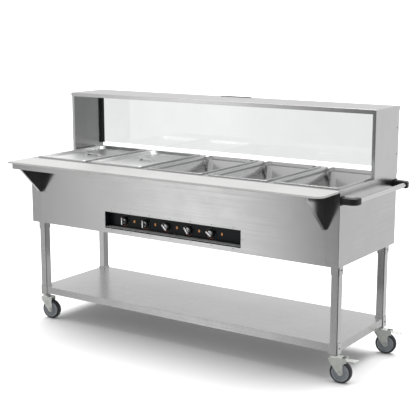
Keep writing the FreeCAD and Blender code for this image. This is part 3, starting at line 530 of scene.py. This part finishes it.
def makeDials():
    settings = dialShape
    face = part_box("dial_plates")[0][1]
    lift = settings["lift"] * mm
    first, last = settings["sweep"]
    inner, outer = settings["tickInner"] * mm, settings["tickOuter"] * mm
    section = [(settings["arcInner"], 0), (settings["arcOuter"], 0),
               (settings["arcOuter"], -settings["lift"]), (settings["arcInner"], -settings["lift"])]
    start = Matrix.Rotation(math.radians(settings["arcFrom"]), 3, "Y")
    bend = math.radians(settings["arcTo"] - settings["arcFrom"])
    marks = bmesh.new()
    arcs = bmesh.new()
    for number in panNumbers:
        centre = middle("knob_" + str(number))
        for tick in range(settings["ticks"]):
            angle = math.radians(first + (last - first) * tick / (settings["ticks"] - 1))
            place = Matrix.Translation((centre[0], face - lift / 2, centre[2]))
            place = place @ Matrix.Rotation(angle, 4, "Y")
            softBlock(marks, (settings["tickWidth"] * mm, lift, outer - inner), (0, 0, (inner + outer) / 2),
                      settings["tickRound"] * mm, 1, place)
        known = set(arcs.verts)
        ring = [arcs.verts.new((radius * mm, along * mm, 0)) for radius, along in section]
        bmesh.ops.rotate(arcs, verts=ring, cent=(0, 0, 0), matrix=start)
        bmesh.ops.spin(arcs, geom=[arcs.faces.new(ring)], cent=(0, 0, 0), axis=(0, 1, 0), angle=bend,
                       steps=settings["arcSteps"], use_merge=False, use_duplicate=False)
        grown = [vert for vert in arcs.verts if vert not in known]
        bmesh.ops.translate(arcs, vec=(centre[0], face - settings["arcGap"] * mm, centre[2]), verts=grown)
    finishMesh(marks, "dialTicks", "dialWhite", "frame")
    finishMesh(arcs, "dialArcs", "dialOrange", "frame")


# Lamp bezels: a thin raised frame round each amber lens, in rows of (width, height, corner radius, proud).

bezelShape = dict(
    rows=((12.6, 17.0, 4.2, 0.0), (12.6, 17.0, 4.2, 1.1), (11.7, 16.1, 3.8, 1.6), (10.0, 14.0, 3.3, 1.55),
          (9.3, 13.3, 3.0, 1.1), (9.3, 13.3, 3.0, 0.05)),
    canHalf=9,
)


def makeBezels():
    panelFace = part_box("dial_plates")[1][1]
    lampLow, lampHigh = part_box("indicator_lamps")
    step = middle("knob_2")[0] - middle("knob_1")[0]
    firstLamp = lampLow[0] + bezelShape["canHalf"] * mm
    height = (lampLow[2] + lampHigh[2]) / 2
    toWall = Matrix.Rotation(math.radians(90), 4, "X")
    shape = bmesh.new()
    for number in range(len(panNumbers)):
        known = set(shape.verts)
        loops = [roundedLoop(shape, (0, 0), width * mm, length * mm, radius * mm, proud * mm, 5)
                 for width, length, radius, proud in bezelShape["rows"]]
        bridgeAll(shape, loops + [loops[0]])
        grown = [vert for vert in shape.verts if vert not in known]
        place = Matrix.Translation((firstLamp + number * step, panelFace, height)) @ toWall
        bmesh.ops.transform(shape, matrix=place, verts=grown)
    finishMesh(shape, "lampBezels", "blackPlastic", "frame")


# The floor strip of the recess, coloured near white: a painted highlight for the lit ledge.

stripShape = dict(hem=9.0, thick=0.5, gap=1.0, sideGap=2.0, edge=0.2)


def makeRecessFloor():
    settings = stripShape
    low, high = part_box("control_box")
    thick, gap = settings["thick"] * mm, settings["gap"] * mm
    width = high[0] - low[0] - 2 * settings["sideGap"] * mm
    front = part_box("front_panel")[0][1] + gap
    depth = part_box("dial_plates")[0][1] - front - gap
    centre = ((low[0] + high[0]) / 2, front + depth / 2, low[2] + settings["hem"] * mm + thick / 2)
    shape = bmesh.new()
    softBlock(shape, (width, depth, thick), centre, settings["edge"] * mm, 2)
    finishMesh(shape, "recessFloor", "paintedHighlightStrip", "frame")


for number in panNumbers:
    makeKnob(number)
makeDials()
makeBezels()
makeRecessFloor()
print("controls made")


# Wheels: moulded hub with a bearing cover and rings, and a rubber tyre with a rounded tread.

wheelShape = dict(
    hub=((5.05, -16.3), (9.6, -16.3), (10.8, -15.6), (11.4, -13.4), (13.2, -12.2), (19.6, -11.4),
         (20.8, -12.6), (22.6, -12.6), (23.8, -11.2), (30.2, -10.6), (32, -12.4),
         (33.4, -13.6), (37.9, -13.6)),
    rim=((38.0, -13.4), (38.2, -14.4), (39.4, -14.9), (40.8, -14.6), (41.0, -13.4)),
    tyreInner=38.0, tyreSide=39.5, tyreOuter=50.95, tyreHalf=14.9, beadHalf=13.5, sidePower=3.2,
    tyreSteps=22, turnSteps=72,
)


def makeWheel(corner):
    settings = wheelShape
    centre = middle("tyre_" + corner)
    body = "wheel_" + corner
    steps = settings["turnSteps"]
    hub = bmesh.new()
    side = list(settings["hub"])
    profile = side + [(radius, -along) for radius, along in reversed(side)] + side[:1]
    spun(hub, profile, centre, steps, casterTurn)
    finishMesh(hub, "wheelHub_" + corner, "hub", body, ["wheel_hub_" + corner], 40)
    # rim rings on both faces of the hub, coloured lighter than the hub as a painted highlight
    rims = bmesh.new()
    for way in (-1, 1):
        ring = [(radius, along * way) for radius, along in settings["rim"]]
        spun(rims, ring + ring[:1], centre, steps, casterTurn)
    finishMesh(rims, "wheelRings_" + corner, "hubRimHighlight", body, sharp=60)
    tyre = bmesh.new()
    inner, bead = settings["tyreInner"], settings["beadHalf"]
    power = 2 / settings["sidePower"]
    tread = []
    for step in range(settings["tyreSteps"] + 1):
        angle = math.pi * step / settings["tyreSteps"]
        along = -math.copysign(abs(math.cos(angle)) ** power, math.cos(angle)) * settings["tyreHalf"]
        swell = (settings["tyreOuter"] - settings["tyreSide"]) * math.sin(angle) ** power
        tread.append((settings["tyreSide"] + swell, along))
    spun(tyre, [(inner, -bead)] + tread + [(inner, bead), (inner, -bead)], centre, steps, casterTurn)
    finishMesh(tyre, "wheelTyre_" + corner, "rubber", body, ["tyre_" + corner], 50)


# Brake pedals: a pressed tread with ribs and an upturned toe, on a rolled barrel.

pedalShape = dict(
    pivot=50, barrelBore=2.95, barrelRadius=5.9, barrelEdge=0.5, halfWidth=16.6, plateFrom=54, plateTo=104.5,
    plateLow=1.0, plateThick=2.4, plateRound=1.1, ribFrom=64, ribStep=7.2, ribs=5, ribSize=(2.8, 35, 3.4),
    ribRound=0.9, toeX=104.2, toeThick=4.6, toeHeight=6.6, toeRound=1.6,
)


def makePedal(corner):
    settings = pedalShape
    pivot = next(joint for joint in frame["joints"] if joint["name"] == "brake_" + corner)["pos_m"]
    body = "pedal_" + corner
    place = Matrix.Translation(pivot) @ casterTurn
    shape = bmesh.new()
    half, bore, edge = settings["halfWidth"], settings["barrelBore"], settings["barrelEdge"]
    radius = settings["barrelRadius"]
    barrel = ((bore, -half), (radius - edge, -half), (radius, -half + edge), (radius, half - edge),
              (radius - edge, half), (bore, half), (bore, -half))
    spun(shape, barrel, (0, 0, 0), 32, place)
    start = settings["plateFrom"] - settings["pivot"]
    end = settings["plateTo"] - settings["pivot"]
    low, thick = settings["plateLow"], settings["plateThick"]
    softBlock(shape, ((end - start) * mm, 2 * half * mm, thick * mm),
              ((start + end) / 2 * mm, 0, (low + thick / 2) * mm), settings["plateRound"] * mm, 3, place)
    size = [value * mm for value in settings["ribSize"]]
    for rib in range(settings["ribs"]):
        x = settings["ribFrom"] - settings["pivot"] + rib * settings["ribStep"]
        softBlock(shape, size, (x * mm, 0, (low + thick) * mm), settings["ribRound"] * mm, 3, place)
    toe = settings["toeHeight"]
    softBlock(shape, (settings["toeThick"] * mm, 2 * half * mm, toe * mm),
              ((settings["toeX"] - settings["pivot"]) * mm, 0, (low + toe / 2) * mm),
              settings["toeRound"] * mm, 4, place)
    finishMesh(shape, "brakePedal_" + corner, "zinc", body, ["pedal_" + corner])


# Axle bolts: dark hexagon heads with chamfered edges on washers, one on each side of the fork.

boltShape = dict(forkHalf=20.5, washer=((0, -0.1), (8.6, -0.1), (8.6, 0.9), (8.0, 1.3), (0, 1.3)),
                 headRadius=6.6, headDepth=4.6, chamfer=0.7)


def makeAxleBolts(corner):
    settings = boltShape
    centre = middle("tyre_" + corner)
    radius, depth = settings["headRadius"] * mm, settings["headDepth"] * mm
    toAxle = Matrix.Rotation(math.radians(90), 4, "X")
    shape = bmesh.new()
    for way in (-1, 1):
        outward = Matrix.Translation((0, way * settings["forkHalf"] * mm, 0))
        outward = Matrix.Translation(centre) @ casterTurn @ outward
        washer = [(rim, along * way) for rim, along in settings["washer"]]
        spun(shape, washer, (0, 0, 0), 32, outward)
        head = bmesh.ops.create_cone(shape, cap_ends=True, cap_tris=False, segments=6, radius1=radius,
                                     radius2=radius, depth=depth)["verts"]
        edges = list({edge for vert in head for edge in vert.link_edges})
        result = bmesh.ops.bevel(shape, geom=edges, offset=settings["chamfer"] * mm, offset_type="OFFSET",
                                 affect="EDGES", segments=2, profile=0.5, material=-1)
        head = list({vert for face in result["faces"] for vert in face.verts})
        lay = Matrix.Translation((0, way * depth / 2, 0)) @ toAxle
        bmesh.ops.transform(shape, matrix=outward @ lay, verts=head)
    finishMesh(shape, "axleBolts_" + corner, "screw", "fork_" + corner)


for corner in corners:
    makeWheel(corner)
    makeAxleBolts(corner)
for corner in brakedCorners:
    makePedal(corner)
print("wheels and pedals made")


# The studio: floor, soft light from above, reflected tones from the sides.

floorLook = dict(side=60.0, tone=0.86, rough=0.9, shine=0.1)


def makeFloor():
    mesh = bpy.data.meshes.new("floor")
    shape = bmesh.new()
    bmesh.ops.create_grid(shape, x_segments=1, y_segments=1, size=floorLook["side"] / 2)
    shape.to_mesh(mesh)
    shape.free()
    floor = bpy.data.objects.new("floor", mesh)
    scene.collection.objects.link(floor)
    finish, tree, shader = newFinish("paleFloor")
    shader.inputs["Base Color"].default_value = (*[floorLook["tone"]] * 3, 1)
    shader.inputs["Roughness"].default_value = floorLook["rough"]
    shader.inputs["Specular IOR Level"].default_value = floorLook["shine"]
    mesh.materials.append(finish)
    floor.visible_glossy = False
    floor.visible_transmission = False


def toneRamp(tree, value, stops):
    # stops are (place, tone)
    node = tree.nodes.new("ShaderNodeValToRGB")
    node.color_ramp.interpolation = "EASE"
    elements = node.color_ramp.elements
    while len(elements) < len(stops):
        elements.new(0.5)
    for stop, (place, tone) in zip(elements, stops):
        stop.position = place
        stop.color = (tone, tone, tone, 1)
    tree.links.new(value, node.inputs["Fac"])
    return node.outputs["Color"]


skyLook = dict(
    across=(0.60, -0.80, 0.0), rise=(-0.02, 0.12), seen=1.1, strength=1.0,
    sides=((0.0, 0.62), (0.27, 0.85), (0.345, 0.62), (0.40, 0.28), (0.47, 0.22), (0.56, 0.26), (0.585, 0.72),
           (0.605, 0.56), (0.643, 1.30), (0.666, 1.50), (0.692, 0.66), (0.715, 0.26), (0.745, 0.04),
           (1.0, 0.03)),
    above=((0.0, 0.80), (0.5, 0.85), (0.75, 0.62), (1.0, 0.5)),
)


def makeSky():
    # tones run across the sky, with one ramp below the horizon and a calmer one above it
    settings = skyLook
    world = bpy.data.worlds.new("studio")
    scene.world = world
    world.use_nodes = True
    tree = world.node_tree
    make, link = tree.nodes.new, tree.links.new
    tree.nodes.clear()
    coord = make("ShaderNodeTexCoord")
    axis = make("ShaderNodeVectorMath")
    axis.operation = "DOT_PRODUCT"
    axis.inputs[1].default_value = settings["across"]
    link(coord.outputs["Generated"], axis.inputs[0])
    shift = spread(tree, axis.outputs["Value"], fromLow=-1, fromHigh=1)
    split = make("ShaderNodeSeparateXYZ")
    link(coord.outputs["Generated"], split.inputs[0])
    low, high = settings["rise"]
    rise = spread(tree, split.outputs["Z"], fromLow=low, fromHigh=high)
    rise.node.interpolation_type = "SMOOTHSTEP"
    both = make("ShaderNodeMix")
    both.data_type = "RGBA"
    link(rise, both.inputs["Factor"])
    link(toneRamp(tree, shift, settings["sides"]), both.inputs["A"])
    link(toneRamp(tree, shift, settings["above"]), both.inputs["B"])

    # the camera sees a plain pale sky, also straight through the pane
    path = make("ShaderNodeLightPath")
    direct = combine(tree, path.outputs["Glossy Depth"], 0.5, "LESS_THAN")
    through = combine(tree, path.outputs["Is Transmission Ray"], direct, "MULTIPLY")
    seen = combine(tree, path.outputs["Is Camera Ray"], through, "MAXIMUM")
    mix = make("ShaderNodeMix")
    mix.data_type = "RGBA"
    link(seen, mix.inputs["Factor"])
    link(both.outputs["Result"], mix.inputs["A"])
    mix.inputs["B"].default_value = (*[settings["seen"]] * 3, 1)
    back = make("ShaderNodeBackground")
    back.inputs["Strength"].default_value = settings["strength"]
    link(mix.outputs["Result"], back.inputs["Color"])
    out = make("ShaderNodeOutputWorld")
    link(back.outputs["Background"], out.inputs["Surface"])


sunLook = dict(strength=4.4, spread=62, tilt=(-9, -4, 0))


def makeSun():
    lamp = bpy.data.lights.new("overhead", "SUN")
    lamp.energy = sunLook["strength"]
    lamp.angle = math.radians(sunLook["spread"])
    sun = bpy.data.objects.new("overhead", lamp)
    sun.rotation_euler = [math.radians(turn) for turn in sunLook["tilt"]]
    scene.collection.objects.link(sun)


cameraPlace = dict(reach=(2.7908, -3.7894, 1.6221), tip=78.98, turn=34.14, lens=86.81, sensor=36)


def makeCamera():
    # reach runs from the middle of the table top's front edge, with its height from the floor
    settings = cameraPlace
    low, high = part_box("top_sheet")
    reach = settings["reach"]
    lens = bpy.data.cameras.new("camera")
    lens.lens = settings["lens"]
    lens.sensor_width = settings["sensor"]
    camera = bpy.data.objects.new("camera", lens)
    camera.location = ((low[0] + high[0]) / 2 + reach[0], low[1] + reach[1], reach[2])
    camera.rotation_euler = (math.radians(settings["tip"]), 0, math.radians(settings["turn"]))
    scene.collection.objects.link(camera)
    scene.camera = camera


makeFloor()
makeSky()
makeSun()
makeCamera()
scene.view_settings.view_transform = "Standard"
print("studio ready")

print("scene ready")
